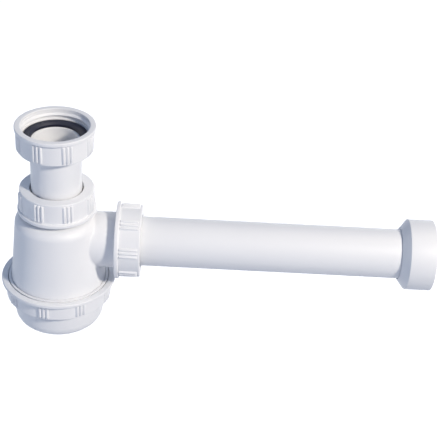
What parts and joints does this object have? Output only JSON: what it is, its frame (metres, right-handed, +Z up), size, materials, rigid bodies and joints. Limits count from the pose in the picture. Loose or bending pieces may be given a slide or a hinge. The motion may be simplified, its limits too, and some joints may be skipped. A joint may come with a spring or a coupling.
{
  "type": "bottle trap",
  "caption": "White plastic basin bottle trap with an adjustable inlet tube, ribbed nuts, a screw-off cup and a straight outlet pipe with a wall flange.",
  "frame": {"origin": "on the inlet axis at the upper face of the inlet washer, at the inner end of the union nut's thread", "axes": "+Z up along the inlet axis, +X along the outlet pipe towards the wall"},
  "size_m": [0.2792, 0.074, 0.1438],
  "materials": {
    "white_polypropylene": "satin moulded",
    "slip_ring_polyethylene": "matt moulded",
    "black_rubber": "matt"
  },
  "bodies": {
    "trap": {"trap_body": "white_polypropylene", "neck_seal": "black_rubber", "outlet_seal": "black_rubber"},
    "inlet": {"inlet_tube": "white_polypropylene", "inlet_washer": "black_rubber"},
    "union_nut": {"inlet_nut": "white_polypropylene"},
    "neck_ring": {"neck_slip_ring": "slip_ring_polyethylene"},
    "neck_nut": {"neck_nut": "white_polypropylene"},
    "outlet_ring": {"outlet_slip_ring": "slip_ring_polyethylene"},
    "outlet_nut": {"outlet_nut": "white_polypropylene"},
    "pipe": {"outlet_pipe": "white_polypropylene"},
    "flange": {"wall_flange": "white_polypropylene"},
    "cup": {"base_cup": "white_polypropylene", "base_seal": "black_rubber"},
    "base_nut": {"base_nut": "white_polypropylene"}
  },
  "joints": [
    {"name": "inlet_height", "type": "slide", "parent": "trap", "child": "inlet", "axis": [0, 0, 1], "range_m": [-0.008, 0.02]},
    {"name": "inlet_nut_spin", "type": "hinge", "parent": "inlet", "child": "union_nut", "pos_m": [0, 0, 0], "axis": [0, 0, 1], "continuous": true},
    {"name": "neck_nut_turn", "type": "hinge", "parent": "trap", "child": "neck_ring", "pos_m": [0, 0, -0.0429], "axis": [0, 0, 1], "range_deg": [0, 900]},
    {"name": "neck_nut_lift", "type": "slide", "parent": "neck_ring", "child": "neck_nut", "axis": [0, 0, 1], "range_m": [0, 0.0058]},
    {"name": "outlet_nut_turn", "type": "hinge", "parent": "trap", "child": "outlet_ring", "pos_m": [0.0482, 0, -0.075], "axis": [1, 0, 0], "range_deg": [0, 900]},
    {"name": "outlet_nut_back_off", "type": "slide", "parent": "outlet_ring", "child": "outlet_nut", "axis": [1, 0, 0], "range_m": [0, 0.0058]},
    {"name": "pipe_slide", "type": "slide", "parent": "trap", "child": "pipe", "axis": [1, 0, 0], "range_m": [0, 0.01]},
    {"name": "wall_flange_slide", "type": "slide", "parent": "pipe", "child": "flange", "axis": [-1, 0, 0], "range_m": [0, 0.15]},
    {"name": "base_cup_drop", "type": "slide", "parent": "trap", "child": "cup", "axis": [0, 0, -1], "range_m": [0, 0.0061]},
    {"name": "base_nut_turn", "type": "hinge", "parent": "cup", "child": "base_nut", "pos_m": [0, 0, -0.11], "axis": [0, 0, -1], "range_deg": [0, 720]}
  ],
  "couplings": [
    {"joint": "neck_nut_lift", "follows": "neck_nut_turn", "m_per_rad": 0.00036749},
    {"joint": "outlet_nut_back_off", "follows": "outlet_nut_turn", "m_per_rad": 0.00036749},
    {"joint": "base_cup_drop", "follows": "base_nut_turn", "m_per_rad": 0.00047746}
  ]
}
